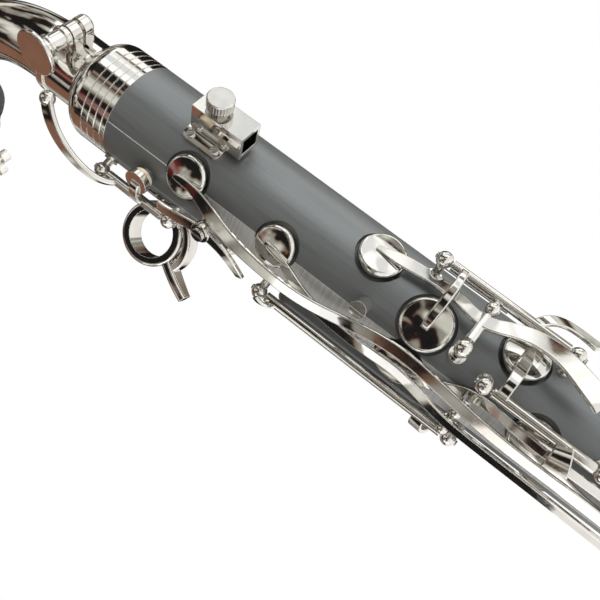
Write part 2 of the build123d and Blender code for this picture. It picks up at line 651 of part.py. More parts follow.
def make_strap_ring():
    """Wide round band standing on a saddle, with a curled tail, for the neck strap's hook."""
    plate = saddle(STRAP_ANGLE, 13.5, -8, -56, 1.5)
    band = Rot(90, 0, 0) * Cylinder(STRAP_RING_R + 3.2, 8.5)
    band = fillet(band.edges(), 1.2)
    band -= Rot(90, 0, 0) * Cylinder(STRAP_RING_R, 12)
    hook = station(STRAP_ANGLE, STRAP_RING_Z, STRAP_RING_OUT) * band
    tail = strap([(STRAP_ANGLE, -38, 36.5), (STRAP_ANGLE, -43, 40), (STRAP_ANGLE, -50, 44)],
                 [8, 7, 5], 3.4)
    brace = strap([(STRAP_ANGLE, -36, 21), (STRAP_ANGLE, -41, 27), (STRAP_ANGLE, -42, 33),
                   (STRAP_ANGLE, -40, 38)], [8, 7.5, 7, 6], 3.0)
    hook += tail + brace
    hook -= pillar(BODY_R + 0.5, -60, 0)
    hook -= station(STRAP_ANGLE, STRAP_RING_Z, STRAP_RING_OUT) * (Rot(90, 0, 0) * Cylinder(STRAP_RING_R, 12))
    return fused(hook + plate)


def make_mounting_screws():
    heads = []
    for side in (-19, 19):
        for z in (-27.6, -37.4):
            heads.append(screw_head(LYRE_ANGLE + side, z, BODY_R + 1.3, 1.5))
    for side in (-7, 7):
        for z in (-11.5, -52.5):
            heads.append(screw_head(STRAP_ANGLE + side, z, BODY_R + 1.5, 1.5))
    return group(*heads)


def make_thumb_rest():
    """Hooked rest for the right thumb, on the back of the lower joint."""
    plate = saddle(180, 20, -392, -424, 1.5, LOWER_R)
    hook = strap([(180, -412, 20.5), (180, -408, 30), (180, -404, 38), (180, -394, 43)],
                 [16, 15, 14, 12], 3.0)
    return fused(plate + (hook - pillar(LOWER_R + 0.5, -440, -380)))


def make_lever_guide():
    """Round post with a slanted end that keeps the trill levers in line."""
    angle, z = -53.0, -105.0
    guide = station(angle, z) * pillar(2.9, FLAT_RADIUS - 2, 27.4)
    slant = Pos(0, 3.2, 2.6) * (Rot(-38, 0, 0) * Box(12, 9, 6))
    return guide - station(angle, z, 26.2) * slant


# ---------------------------------------------------------------- keys on the upper joint
def small_key(name):
    """Cup of a small closed key in its place."""
    angle, z, cup_r = SMALL_CUPS[name]
    return cup(angle, z, cup_r, small_seat(cup_r))


def pivot_tube(pivot, low, high):
    """Tube of a rocking key round its cross pivot."""
    return across(*pivot, low, high, TUBE_R)


def rocking(key, pivot):
    """A rocking key with the running bore of its cross pivot cut through it."""
    return fused(key - across(*pivot, -14, 14, ROD_R + RUNNING_GAP))


def make_trill_key_1():
    """First trill key, a spear-shaped tip on the topmost cup and a lever down the joint."""
    key = small_key("trill_key_1")
    key += strap([(-62, -31.0, 20.9), (-62, -40, 21.5), (-69, -53, 24.2), (-74, -70, 25.6),
                  (-73.5, -88, 26.0), (-66, -104, 26.0), (-60, -121, 25.8), (-63, -139, 25.6),
                  (-67, -156, 25.6), (-67.5, -183, 25.6), (-70, -210, 25.4), (-77, -236, 25.2),
                  (-78.5, -262, 25.2)], [1.8, 5.4, 4.4, 4.0, 3.8, 4.0, 4.0, 4.0, 4.0, 4.0, 4.4, 5.2, 5.6])
    key += pivot_tube(TRILL_PAIR_PIVOT, 2.6, 6.2)
    return rocking(key, TRILL_PAIR_PIVOT)


def make_trill_key_2():
    """Second trill key; its lever passes beneath the first one."""
    key = small_key("trill_key_2")
    key += strap([(-60, -68.5, 20.9), (-66, -77, 21.2), (-77, -87, 21.9), (-80, -98, 23.0),
                  (-76, -112, 25.0), (-75, -126, 25.0), (-83, -141, 25.0), (-86, -156, 25.0),
                  (-87, -190, 25.0), (-91, -226, 24.8), (-93, -262, 24.8)],
                 [1.8, 4.4, 4.0, 4.0, 4.0, 4.0, 4.0, 4.0, 4.4, 5.0, 5.6])
    key += pivot_tube(TRILL_PAIR_PIVOT, -6.2, -2.6)
    return rocking(key, TRILL_PAIR_PIVOT)


def make_trill_key_3():
    """Third trill key; its lever dives beneath the first two and comes up beside them."""
    key = small_key("trill_key_3")
    key += strap([(-86, -121, 20.7), (-82, -130, 20.4), (-69, -139, 19.8), (-58, -148, 20.0),
                  (-55, -158, 23.2), (-55, -170, 25.0), (-55, -190, 24.6), (-55, -210, 24.6),
                  (-52.5, -236, 24.6), (-52, -262, 24.8)],
                 [1.8, 4.2, 3.4, 3.0, 3.0, 3.0, 3.0, 3.2, 4.0, 5.0])
    key += pivot_tube(TRILL_3_PIVOT, -1.8, 1.8)
    return rocking(key, TRILL_3_PIVOT)


def make_trill_key_4():
    """Fourth trill key, with the lowest cup and a short lever beneath the others."""
    key = small_key("trill_key_4")
    key += strap([(-61, -165.5, 20.9), (-66, -175, 21.0), (-72, -187, 21.2), (-73, -200, 21.4),
                  (-72, -214, 21.7), (-68.5, -228, 21.7), (-65.5, -240, 22.4), (-64.5, -251, 23.6),
                  (-64.5, -262, 24.4)],
                 [1.8, 4.0, 3.4, 3.2, 3.2, 3.2, 3.6, 4.4, 5.0])
    key += pivot_tube(TRILL_4_PIVOT, -1.8, 1.8)
    return rocking(key, TRILL_4_PIVOT)


def make_throat_a_key():
    """Throat A key: a rocker whose tail runs over the vent key's cup to a curved touch."""
    key = small_key("throat_a_key")
    key += strap([(-4, -97.5, 20.6), (-1, -108, 21.4), (1, -119, 22.0), (-4, -129, 23.4),
                  (-9, -136.5, 25.6), (-6, -142, 27.0), (-1, -149, 28.0), (0, -157, 28.7),
                  (-4, -166, 29.0), (-11, -176, 29.0)], [1.8, 5.0, 4.4, 4.2, 4.0, 4.6, 5.6, 6.4, 7.2, 8.0])
    key += pivot_tube(THROAT_A_PIVOT, -4.9, 4.6)
    return rocking(key, THROAT_A_PIVOT)


def make_throat_gsharp_key():
    """Throat G sharp key: hinge tube, an arm across to its flat cup, and a tapered touch."""
    angle, radius, z_high, z_low = THROAT_LINE
    key = small_key("throat_gsharp_key") + hinge_tube(*THROAT_LINE)
    key += strap([(angle, -123, radius + 0.6), (0, -123.5, 27.2), (-18, -123.5, 24.8), (-31, -123.5, 21.0),
                  (-37, -123.5, 20.6)], [2.8, 2.6, 2.8, 3.4, 2.2], 1.9)
    key += strap([(angle, -149, radius + 1.0), (20, -151, 28.2), (26.5, -155, 28.8), (29, -168, 28.6)],
                 [3.6, 4.4, 6.0, 7.0])
    return bored(key, *THROAT_LINE)


def make_cross_vent_key():
    """Cross key with its cup on the front and its hinge on the trill side."""
    angle, radius, z_high, z_low = VENT_LINE
    key = small_key("cross_vent_key") + hinge_tube(*VENT_LINE)
    key += strap([(angle, -152.5, radius + 1.0), (-22, -152.5, 24.6), (-4, -152.5, 21.2), (4, -152.5, 20.9)],
                 [3.8, 3.6, 4.2, 2.2])
    key += strap([(angle, -174, radius + 1.0), (-49, -175, 27.8), (-58, -176, 28.0)], [5.0, 6.4, 8.0])
    return bored(key, *VENT_LINE)


def plate_and_pad(line, cup_angle, cup_z, cup_r, tube_r):
    """Large key as it stands when closed: hinge tube, arm and cup, and its pad apart."""
    angle, radius, z_high, z_low = line
    seat = tube_r + CHIMNEY_HEIGHT
    top = seat + PAD_GAP + RIM_DROP + CUP_DEPTH
    key = hinge_tube(*line) + cup(cup_angle, cup_z, cup_r, seat)
    middle = (angle + cup_angle) / 2
    key += strap([(angle, cup_z, radius + 1.0), (middle, cup_z, top + 1.6), (cup_angle, cup_z, top + 0.2)],
                 [4.4, 4.2, 3.0], 1.6)
    return key, pad(cup_angle, cup_z, cup_r, seat)


def opened(key, soft, line, cup_angle):
    """A large key and its pad swung open about their rod."""
    turn = OPEN_TURN if cup_angle < line[0] else -OPEN_TURN
    hinge = Axis(spot(line[0], 0, line[1]), (0, 0, 1))
    return group(bored(key, *line).rotate(hinge, turn), soft.rotate(hinge, turn))


def line_part(line, index):
    """The stretch of a rod line between two neighbouring posts."""
    angle, radius, posts = line
    return angle, radius, posts[index], posts[index + 1]


def make_plate(line, cup_angle, cup_r, tube_r):
    """Finger plate centred between the posts of its own stretch of rod."""
    cup_z = (line[2] + line[3]) / 2
    key, soft = plate_and_pad(line, cup_angle, cup_z, cup_r, tube_r)
    return opened(key, soft, line, cup_angle)


def low_line(name):
    angle, cup_z, z_low, touch_angle, touch_z = LOW_KEYS[name]
    return angle, LOW_LINE_R, LOW_POST_Z, z_low


def make_low_key(name):
    """Little-finger key of the right hand, with a long hinge tube and a large cup."""
    angle, cup_z, z_low, touch_angle, touch_z = LOW_KEYS[name]
    line = low_line(name)
    key, soft = plate_and_pad(line, 0.0, cup_z, LOW_CUP_R, LOWER_R)
    middle = (angle + touch_angle) / 2
    key += strap([(angle, touch_z, LOW_LINE_R + 1.0), (middle, touch_z, 33.4), (touch_angle, touch_z, 33.4)],
                 [5.0, 8.0, 12.0], 1.8)
    return opened(key, soft, line, 0.0)


def make_left_low_lever(name):
    """Little-finger lever of the left hand, reaching across the middle joint."""
    angle, radius = LEFT_LOW_LINES[name]
    z_high, z_low = LEFT_LOW_POSTS
    key = hinge_tube(angle, radius, z_high, z_low)
    key += strap([(angle, -296, radius + 1.0), (angle - 8, -296, 29.5), (angle - 14, -296, 31)], [6, 9, 12])
    key += strap([(angle, -310, radius + 1.0), (angle + 2, -322, 29.4), (angle + 2, -334, 29.8)], [4, 4, 5])
    return bored(key, angle, radius, z_high, z_low)


# ---------------------------------------------------------------- register mechanism
def make_register_neck_lever():
    """Key of the body's register vent, with an arm that reaches up beside the neck ferrule."""
    angle, radius, z_high, z_low = REGISTER_NECK_LINE
    key = hinge_tube(*REGISTER_NECK_LINE)
    key += strap([(angle, -9, radius + 1.0), (-109, -4, 27.6), (-101, 4, 28.4), (-91, 12, 27.4),
                  (-81, 18, 25.4), (-73, 21, 23.8)], [4.4, 5.0, 5.6, 5.8, 5.6, 5.0], 1.9)
    key += Pos(spot(-73, 21.0, 23.6)) * Sphere(2.7)
    vent = station(*REGISTER_VENT)
    key += vent * (pillar(4.4, 21.9, 24.2) - pillar(3.7, 21.9, 22.6))
    key += strap([(angle, -20, radius + 1.0), (-101, -20, 25.4), (-88, -20, 24.2)], [3.6, 3.4, 3.6])
    soft = vent * pillar(3.6, 20.12, 22.58)
    return group(bored(key, *REGISTER_NECK_LINE), soft)


def make_register_rocker():
    """S-shaped lever that turns on a screw standing out of the tube."""
    key = strap([(-89.5, -31, 25.0), (-87, -38, 25.0), (-83.5, -45, 25.0), (-83, -51, 25.0),
                 (-87, -58, 24.9), (-96, -63.5, 24.8), (-103, -66, 24.8)],
                [4.4, 4.2, 4.4, 4.4, 4.0, 3.8, 3.4], 1.5)
    pivot = station(*REGISTER_PIVOT)
    key += pivot * pillar(3.4, 23.6, 26.2)
    return fused(key - pivot * pillar(1.25, 20, 30))


def make_register_pivot():
    """Screw and pillar that carry the register rocker."""
    screw = pillar(2.7, 15, 23.3) + pillar(1.2, 22, 26.6) + pillar(2.3, 26.5, 27.6)
    screw -= Pos(0, 0, 27.6) * Box(4.8, 0.5, 0.8)
    return station(*REGISTER_PIVOT) * screw


def make_register_thumb_lever():
    """Long rod from the thumb touch on the back up to the register rocker."""
    angle, radius, z_high, z_low = REGISTER_THUMB_LINE
    key = hinge_tube(*REGISTER_THUMB_LINE)
    key += strap([(angle, -139, radius + 1.0), (-130, -140, 27.6), (-150, -142, 28.6), (-166, -142, 28.6)],
                 [4.4, 5.0, 6.6, 9.0])
    key += strap([(angle, -79, radius + 1.2), (-111, -77, 26.6), (-107, -74, 26.6)], [3.6, 3.4, 3.2])
    return bored(key, *REGISTER_THUMB_LINE)


# ---------------------------------------------------------------- posts, rods and springs
UPPER_LINES = (THROAT_LINE, VENT_LINE, THUMB_LINE, REGISTER_NECK_LINE, REGISTER_THUMB_LINE)


def make_upper_posts(body):
    posts = []
    for angle, radius, z_high, z_low in UPPER_LINES:
        posts += [ball_post(angle, z, radius) for z in (z_high, z_low)]
    posts += [ball_post(FINGER_LINE[0], z, FINGER_LINE[1]) for z in FINGER_LINE[2]]
    for angle, radius in LEFT_LOW_LINES.values():
        posts += [ball_post(angle, z, radius) for z in LEFT_LOW_POSTS]
    posts.append(cross_post(*TRILL_PAIR_PIVOT, 0.0))
    posts.append(cross_post(*TRILL_PAIR_PIVOT, -8.6))
    posts.append(cross_post(*TRILL_3_PIVOT, 4.2))
    posts.append(cross_post(*TRILL_4_PIVOT, -4.0, 1.7))
    posts.append(cross_post(*TRILL_4_PIVOT, 4.0, 1.7))
    posts.append(cross_post(*THROAT_A_PIVOT, -7.9, 2.8))
    posts.append(cross_post(*THROAT_A_PIVOT, 7.4, 2.3))
    posts.append(make_register_pivot())
    return group(*[fused(post - body) for post in posts])


def make_lower_posts(body):
    posts = [ball_post(RIGHT_LINE[0], z, RIGHT_LINE[1], LOWER_R) for z in RIGHT_LINE[2]]
    for name in LOW_KEYS:
        angle, radius, z_high, z_low = low_line(name)
        posts += [ball_post(angle, z, radius, LOWER_R) for z in (z_high, z_low)]
    return group(*[fused(post - body) for post in posts])


def line_rod(angle, radius, z_high, z_low):
    """Hinge rod through two posts, with a slotted end."""
    reach = POST_BALL_R + 0.3
    rod = upright(angle, radius, z_low - reach, z_high + reach, ROD_R)
    return rod - station(angle, z_high + reach, radius) * Box(0.8, 0.35, 4)


def capped_rod(pivot, low, high, cap_low, cap_high):
    """Cross pivot rod with a small cap on its free end."""
    return across(*pivot, low, high, ROD_R) + across(*pivot, cap_low, cap_high, 1.5)


def make_upper_rods():
    rods = [line_rod(*line) for line in UPPER_LINES]
    rods.append(line_rod(FINGER_LINE[0], FINGER_LINE[1], FINGER_LINE[2][0], FINGER_LINE[2][-1]))
    for angle, radius in LEFT_LOW_LINES.values():
        rods.append(line_rod(angle, radius, *LEFT_LOW_POSTS))
    rods.append(capped_rod(TRILL_PAIR_PIVOT, -10.8, 6.8, 6.5, 7.3))
    rods.append(capped_rod(TRILL_3_PIVOT, -2.4, 6.4, -2.8, -2.1))
    rods.append(across(*TRILL_4_PIVOT, -6.0, 6.0, ROD_R))
    rods.append(across(*THROAT_A_PIVOT, -10.9, 10.0, ROD_R))
    return group(*rods)


def make_lower_rods():
    rods = [line_rod(RIGHT_LINE[0], RIGHT_LINE[1], RIGHT_LINE[2][0], RIGHT_LINE[2][-1])]
    rods += [line_rod(*low_line(name)) for name in LOW_KEYS]
    return group(*rods)


def make_needle_springs():
    """Fine spring needles that reach from the posts along the hinge tubes."""
    wires = []
    for angle, radius, z_high, z_low in (VENT_LINE, THUMB_LINE, REGISTER_THUMB_LINE):
        start = z_low + SPRING_GRIP
        wires.append(upright(angle, radius - SPRING_DROP, start, start + SPRING_LENGTH, SPRING_R))
    angle, radius, z_high, z_low = THROAT_LINE
    start = z_high - SPRING_GRIP
    wires.append(upright(angle, radius - SPRING_DROP, start - SPRING_LENGTH, start, SPRING_R))
    return group(*wires)


# ---------------------------------------------------------------- assembly
def build_nodes():
    upper = make_upper_joint()
    lower = make_lower_joint()
    bell, bell_outer = make_bell()
    mouth = mouthpiece_plane()
    nodes["upper_joint"] = upper
    nodes["lower_joint"] = lower
    nodes["joint_rings"] = make_joint_rings()
    nodes["tenon_corks"] = make_tenon_corks()
    nodes["neck_receiver"] = make_neck_receiver()
    nodes["neck_lock_screw"] = make_neck_lock_screw()
    nodes["neck_tube"] = make_neck_tube()
    nodes["neck_cork"] = make_neck_cork()
    nodes["mouthpiece"] = mouth * make_mouthpiece()
    nodes["reed"] = mouth * make_reed()
    nodes["ligature_band"] = mouth * make_ligature_band()
    nodes["ligature_screws"] = group(*[mouth * make_ligature_screw(z) for z in LIGATURE_SCREW_Z])
    nodes["bell"] = bell
    nodes["peg_socket"] = make_peg_socket(bell_outer)
    nodes["peg_thumbscrew"] = make_peg_thumbscrew()
    nodes["floor_peg"] = make_floor_peg()
    nodes["peg_foot"] = make_peg_foot()
    nodes["lyre_holder"] = make_lyre_holder()
    nodes["lyre_thumbscrew"] = make_lyre_thumbscrew()
    nodes["strap_ring"] = make_strap_ring()
    nodes["mounting_screws"] = make_mounting_screws()
    nodes["thumb_rest"] = make_thumb_rest()
    nodes["lever_guide"] = fused(make_lever_guide() - upper)
    nodes["trill_key_1"] = make_trill_key_1()
    nodes["trill_key_2"] = make_trill_key_2()
    nodes["trill_key_3"] = make_trill_key_3()
    nodes["trill_key_4"] = make_trill_key_4()
    nodes["throat_a_key"] = make_throat_a_key()
    nodes["throat_gsharp_key"] = make_throat_gsharp_key()
    nodes["cross_vent_key"] = make_cross_vent_key()
    for name, (angle, z, cup_r) in SMALL_CUPS.items():
        nodes[name.replace("_key", "_pad")] = pad(angle, z, cup_r, small_seat(cup_r))
    finger_angle, finger_r = FINGER_CUP
    for name, index in FINGER_PLATES.items():
        nodes[name] = make_plate(line_part(FINGER_LINE, index), finger_angle, finger_r, BODY_R)
    for name, index in RIGHT_PLATES.items():
        nodes[name] = make_plate(line_part(RIGHT_LINE, index), 0.0, finger_r, LOWER_R)
    nodes["thumb_plate"] = make_plate(THUMB_LINE, 180.0, THUMB_CUP_R, BODY_R)
    for name in LOW_KEYS:
        nodes[name] = make_low_key(name)
    for name in LEFT_LOW_LINES:
        nodes[name] = make_left_low_lever(name)
    nodes["register_neck_lever"] = make_register_neck_lever()
    nodes["register_rocker"] = make_register_rocker()
    nodes["register_thumb_lever"] = make_register_thumb_lever()
    nodes["upper_posts"] = make_upper_posts(upper)
    nodes["lower_posts"] = make_lower_posts(lower)
    nodes["upper_rods"] = make_upper_rods()
    nodes["lower_rods"] = make_lower_rods()
    nodes["needle_springs"] = make_needle_springs()


build_nodes()
os.makedirs("parts", exist_ok=True)
for name, shape in nodes.items():
    export_step(shape, f"parts/{name}.step")
print(len(nodes), "nodes")
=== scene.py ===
import json
import math

import bmesh
import bpy
from mathutils import Matrix, Vector


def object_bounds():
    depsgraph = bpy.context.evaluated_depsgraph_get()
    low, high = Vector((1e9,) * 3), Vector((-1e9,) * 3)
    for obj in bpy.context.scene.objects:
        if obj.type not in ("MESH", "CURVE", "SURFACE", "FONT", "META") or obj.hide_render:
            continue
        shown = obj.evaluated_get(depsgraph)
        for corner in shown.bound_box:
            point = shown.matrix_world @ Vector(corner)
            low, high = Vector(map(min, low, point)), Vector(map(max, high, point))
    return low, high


# A bass clarinet in satin black with silver-plated keys. Lengths are in metres, in the frame of
# the CAD model: +Z runs up the tube, the front faces -Y, and the origin is on the tube's axis.

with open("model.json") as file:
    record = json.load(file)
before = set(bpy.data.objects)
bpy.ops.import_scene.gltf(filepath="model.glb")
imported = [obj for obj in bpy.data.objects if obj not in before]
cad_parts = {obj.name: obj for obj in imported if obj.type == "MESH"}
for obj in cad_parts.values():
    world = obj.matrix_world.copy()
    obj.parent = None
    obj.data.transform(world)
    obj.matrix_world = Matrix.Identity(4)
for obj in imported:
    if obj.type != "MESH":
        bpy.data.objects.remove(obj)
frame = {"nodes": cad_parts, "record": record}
cad_low, cad_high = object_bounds()

MM = 0.001
BODY_R = 18.5 * MM
FLAT_ANGLE = math.radians(-82.0)       # the flat milled under the trill levers
FLAT_RADIUS = 17.4 * MM
FLAT_MARGIN = 0.06 * MM
EDGE_ROUND = 0.35 * MM                 # polishing has rounded the edges of the plated keys

# Camera: round the axis from the front, distance, height, and how it is turned
CAMERA_ANGLE = math.radians(-36.0)
CAMERA_DISTANCE = 243.5 * MM
CAMERA_HEIGHT = -126.6 * MM
CAMERA_PAN = math.radians(4.144)
CAMERA_TILT = math.radians(9.661)
CAMERA_ROLL = math.radians(52.465)
CAMERA_LENS = 44.4
CAMERA_SENSOR = 36.0
MOUTHPIECE_RISE = math.radians(18.0)    # the mouthpiece points this far above level
FLOOR_GLOW = 0.8                       # light of its own that keeps the floor as pale as the room
FLOOR_RADIUS = 3.0

# Lamps: angle round the axis in degrees, distance, height, size, power in watts, colour, and
# whether metal mirrors it. The front lamp lights without glare, and the sheen lamp adds gloss.
FRONT_ANGLE = 22
COOL_WHITE = (0.96, 0.99, 1.0)
WHITE = (1.0, 1.0, 1.0)
LAMPS = {
    "softbox_front": (FRONT_ANGLE, 0.55, 0.04, (0.42, 0.80), 3.6, COOL_WHITE, False),
    "softbox_sheen": (FRONT_ANGLE, 0.54, 0.04, (0.36, 0.80), 0.85, COOL_WHITE, True),
    "softbox_side": (60, 0.8, 0.2, (0.25, 0.9), 1.0, WHITE, True),
    "softbox_low": (-110, 0.8, -0.3, (0.3, 0.9), 1.0, WHITE, True),
}


# ------------------------------------------------------------------ material helpers
class Shader:
    """A material with a Principled shader, and short calls for the nodes that feed it."""

    def __init__(self, name, metallic=0.0, roughness=0.5, colour=(0.5, 0.5, 0.5)):
        self.material = bpy.data.materials.new(name)
        self.material.use_nodes = True
        self.tree = self.material.node_tree
        self.nodes = self.tree.nodes
        self.surface = self.nodes["Principled BSDF"]
        self.set("Metallic", metallic)
        self.set("Roughness", roughness)
        self.set("Base Color", (*colour, 1.0))
        self.place = self.nodes.new("ShaderNodeTexCoord").outputs["Object"]

    def set(self, socket, value):
        self.surface.inputs[socket].default_value = value

    def link(self, output, socket):
        self.tree.links.new(output, socket)

    def noise(self, scale, stretch=(1, 1, 1), detail=4.0, rough=0.55, turn=(0, 0, 0)):
        """Noise from 0 to 1; scale counts features per metre and stretch multiplies it by axis."""
        mapping = self.nodes.new("ShaderNodeMapping")
        mapping.inputs["Scale"].default_value = stretch
        mapping.inputs["Rotation"].default_value = turn
        self.link(self.place, mapping.inputs["Vector"])
        texture = self.nodes.new("ShaderNodeTexNoise")
        texture.inputs["Scale"].default_value = scale
        texture.inputs["Detail"].default_value = detail
        texture.inputs["Roughness"].default_value = rough
        self.link(mapping.outputs["Vector"], texture.inputs["Vector"])
        return texture.outputs["Fac"]

    def ramp(self, value, low, high, start=0.0, end=1.0):
        """Value rescaled from low..high to start..end."""
        node = self.nodes.new("ShaderNodeMapRange")
        node.inputs["From Min"].default_value = low
        node.inputs["From Max"].default_value = high
        node.inputs["To Min"].default_value = start
        node.inputs["To Max"].default_value = end
        self.link(value, node.inputs["Value"])
        return node.outputs["Result"]

    def blend(self, value, first, second):
        """Colour that goes from first to second; each is a colour or an output."""
        node = self.nodes.new("ShaderNodeMix")
        node.data_type = "RGBA"
        self.link(value, node.inputs["Factor"])
        for socket, colour in ((node.inputs[6], first), (node.inputs[7], second)):
            if isinstance(colour, tuple):
                socket.default_value = (*colour, 1.0)
            else:
                self.link(colour, socket)
        return node.outputs[2]

    def math(self, operation, first, second):
        node = self.nodes.new("ShaderNodeMath")
        node.operation = operation
        for socket, value in zip(node.inputs, (first, second)):
            if isinstance(value, (int, float)):
                socket.default_value = value
            else:
                self.link(value, socket)
        return node.outputs[0]

    def bump(self, height, depth, strength=1.0, under=None):
        """Adds relief of a depth in metres to the surface normal."""
        node = self.nodes.new("ShaderNodeBump")
        node.inputs["Strength"].default_value = strength
        node.inputs["Distance"].default_value = depth
        self.link(height, node.inputs["Height"])
        if under is not None:
            self.link(under, node.inputs["Normal"])
        self.link(node.outputs["Normal"], self.surface.inputs["Normal"])
        return node.outputs["Normal"]

    def worn_edge(self, radius):
        """Normals that look as if sharp edges were polished round."""
        node = self.nodes.new("ShaderNodeBevel")
        node.samples = 4
        node.inputs["Radius"].default_value = radius
        return node.outputs["Normal"]

    def paint(self, colour=None, roughness=None):
        if colour is not None:
            self.link(colour, self.surface.inputs["Base Color"])
        if roughness is not None:
            self.link(roughness, self.surface.inputs["Roughness"])


def plated(name, bright, dull, smooth, worn, ripple=0.05):
    """Polished plating: faint tarnish, handling smudges, hairline scratches, soft ripple."""
    s = Shader(name, metallic=1.0)
    tarnish = s.ramp(s.noise(70, detail=3), 0.35, 0.75)
    smudge = s.ramp(s.noise(230, detail=5, rough=0.65), 0.42, 0.78)
    hairline = s.noise(1500, stretch=(1, 1, 0.06), detail=2)
    s.paint(s.blend(tarnish, bright, dull), s.ramp(smudge, 0, 1, smooth, worn))
    relief = s.bump(s.noise(55, detail=1), ripple * MM, under=s.worn_edge(EDGE_ROUND))
    s.bump(hairline, 0.002 * MM, 0.5, relief)
    return s.material


def black_body():
    """Satin black tube: fine lengthwise grain, and cross-brushed marks on the milled flat."""
    s = Shader("satin_black_body")
    grain = s.noise(1000, stretch=(1, 1, 0.035), detail=5, rough=0.6)
    broad = s.noise(90, stretch=(1, 1, 0.12), detail=3)
    brushed = s.noise(1400, stretch=(0.05, 0.05, 1), detail=4, rough=0.6)
    across = s.nodes.new("ShaderNodeVectorMath")
    across.operation = "DOT_PRODUCT"
    across.inputs[1].default_value = (math.sin(FLAT_ANGLE), -math.cos(FLAT_ANGLE), 0)
    s.link(s.place, across.inputs[0])
    off_flat = s.math("ABSOLUTE", s.math("SUBTRACT", across.outputs["Value"], FLAT_RADIUS), 0)
    on_flat = s.math("LESS_THAN", off_flat, FLAT_MARGIN)
    tube = s.blend(s.ramp(grain, 0.3, 0.7), (0.050, 0.053, 0.053), (0.082, 0.086, 0.086))
    tube = s.blend(s.ramp(broad, 0.35, 0.7, 0.0, 0.40), tube, (0.098, 0.102, 0.102))
    flat = s.blend(s.ramp(brushed, 0.3, 0.7), (0.42, 0.42, 0.41), (0.66, 0.66, 0.64))
    rough = s.math("ADD", s.ramp(grain, 0.2, 0.8, 0.38, 0.48), s.math("MULTIPLY", on_flat, -0.05))
    s.paint(s.blend(on_flat, tube, flat), rough)
    s.set("Specular IOR Level", 0.95)
    s.set("IOR", 1.8)
    s.set("Specular Tint", (0.93, 0.98, 1.0, 1.0))
    relief = s.bump(grain, 0.035 * MM, 0.35)
    s.bump(s.math("MULTIPLY", brushed, on_flat), 0.03 * MM, 0.7, relief)
    return s.material


def polished_black():
    """Mouthpiece: polished black, with faint fine bumps and fine dust-like wear."""
    s = Shader("polished_black")
    wear = s.ramp(s.noise(320, detail=6, rough=0.7), 0.45, 0.8)
    s.paint(s.blend(wear, (0.010, 0.010, 0.011), (0.032, 0.031, 0.031)), s.ramp(wear, 0, 1, 0.12, 0.32))
    s.set("Specular IOR Level", 0.6)
    s.set("Coat Weight", 0.3)
    s.bump(s.noise(900, detail=2), 0.004 * MM, 0.5)
    return s.material


def cane():
    """Reed: pale cane with long fibres and a few dark flecks, along the mouthpiece."""
    s = Shader("cane")
    fibre = s.noise(1500, stretch=(1, 0.03, 1), detail=4, turn=(MOUTHPIECE_RISE, 0, 0))
    fleck = s.ramp(s.noise(500, stretch=(1, 0.1, 1), detail=3, turn=(MOUTHPIECE_RISE, 0, 0)), 0.62, 0.74)
    straw = s.blend(s.ramp(fibre, 0.3, 0.7), (0.58, 0.41, 0.19), (0.80, 0.64, 0.36))
    s.paint(s.blend(fleck, straw, (0.40, 0.26, 0.12)), s.ramp(fibre, 0.3, 0.7, 0.45, 0.65))
    s.bump(fibre, 0.03 * MM, 0.7)
    return s.material


def cork():
    """Neck and tenon corks: fine cells and dark pores."""
    s = Shader("cork")
    cell = s.noise(900, detail=6, rough=0.7)
    pore = s.ramp(s.noise(420, detail=2), 0.60, 0.70)
    tan = s.blend(s.ramp(cell, 0.3, 0.7), (0.42, 0.25, 0.12), (0.68, 0.48, 0.28))
    s.paint(s.blend(pore, tan, (0.16, 0.08, 0.04)), s.ramp(cell, 0.3, 0.7, 0.7, 0.9))
    s.bump(cell, 0.12 * MM, 0.8)
    return s.material


def rubber():
    """Foot of the peg: matt rubber with dust in its grain."""
    s = Shader("foot_rubber")
    grain = s.noise(1300, detail=5, rough=0.7)
    dust = s.ramp(s.noise(160, detail=4), 0.45, 0.75)
    s.paint(s.blend(dust, (0.014, 0.014, 0.014), (0.055, 0.053, 0.050)), s.ramp(grain, 0.3, 0.7, 0.6, 0.85))
    s.bump(grain, 0.08 * MM, 0.8)
    return s.material


def pad_skin():
    """Pads: thin pale skin over felt, with darker stains here and there at random."""
    s = Shader("pad_skin")
    pucker = s.noise(700, detail=5, rough=0.6)
    stain = s.ramp(s.noise(150, detail=3), 0.4, 0.75)
    s.paint(s.blend(stain, (0.74, 0.66, 0.50), (0.50, 0.38, 0.24)), s.ramp(pucker, 0.3, 0.7, 0.45, 0.7))
    s.bump(pucker, 0.06 * MM, 0.7)
    return s.material


def ground_steel():
    """Hinge rods, springs and peg: drawn steel with lengthwise lines."""
    s = Shader("ground_steel", metallic=1.0)
    line = s.noise(2200, stretch=(1, 1, 0.02), detail=3)
    stain = s.ramp(s.noise(120, detail=4), 0.5, 0.8)
    s.paint(s.blend(stain, (0.66, 0.66, 0.66), (0.50, 0.47, 0.43)), s.ramp(line, 0.3, 0.7, 0.14, 0.30))
    s.bump(line, 0.006 * MM, 0.6)
    return s.material


MATERIALS = {
    "silver_plate": plated("silver_plate", (0.80, 0.785, 0.75), (0.64, 0.62, 0.58), 0.05, 0.14),
    "nickel": plated("nickel", (0.74, 0.73, 0.70), (0.56, 0.54, 0.50), 0.16, 0.32, 0.02),
    "brass_lacquer": plated("ligature_plate", (0.90, 0.88, 0.84), (0.76, 0.72, 0.66), 0.07, 0.20),
    "black_body": black_body(),
    "mouthpiece_black": polished_black(),
    "cane": cane(),
    "cork": cork(),
    "foot_rubber": rubber(),
    "pad_skin": pad_skin(),
    "steel_rod": ground_steel(),
}
SLOT_OF = {part["node"]: part["material_slot"] for part in frame["record"]["subparts"]}


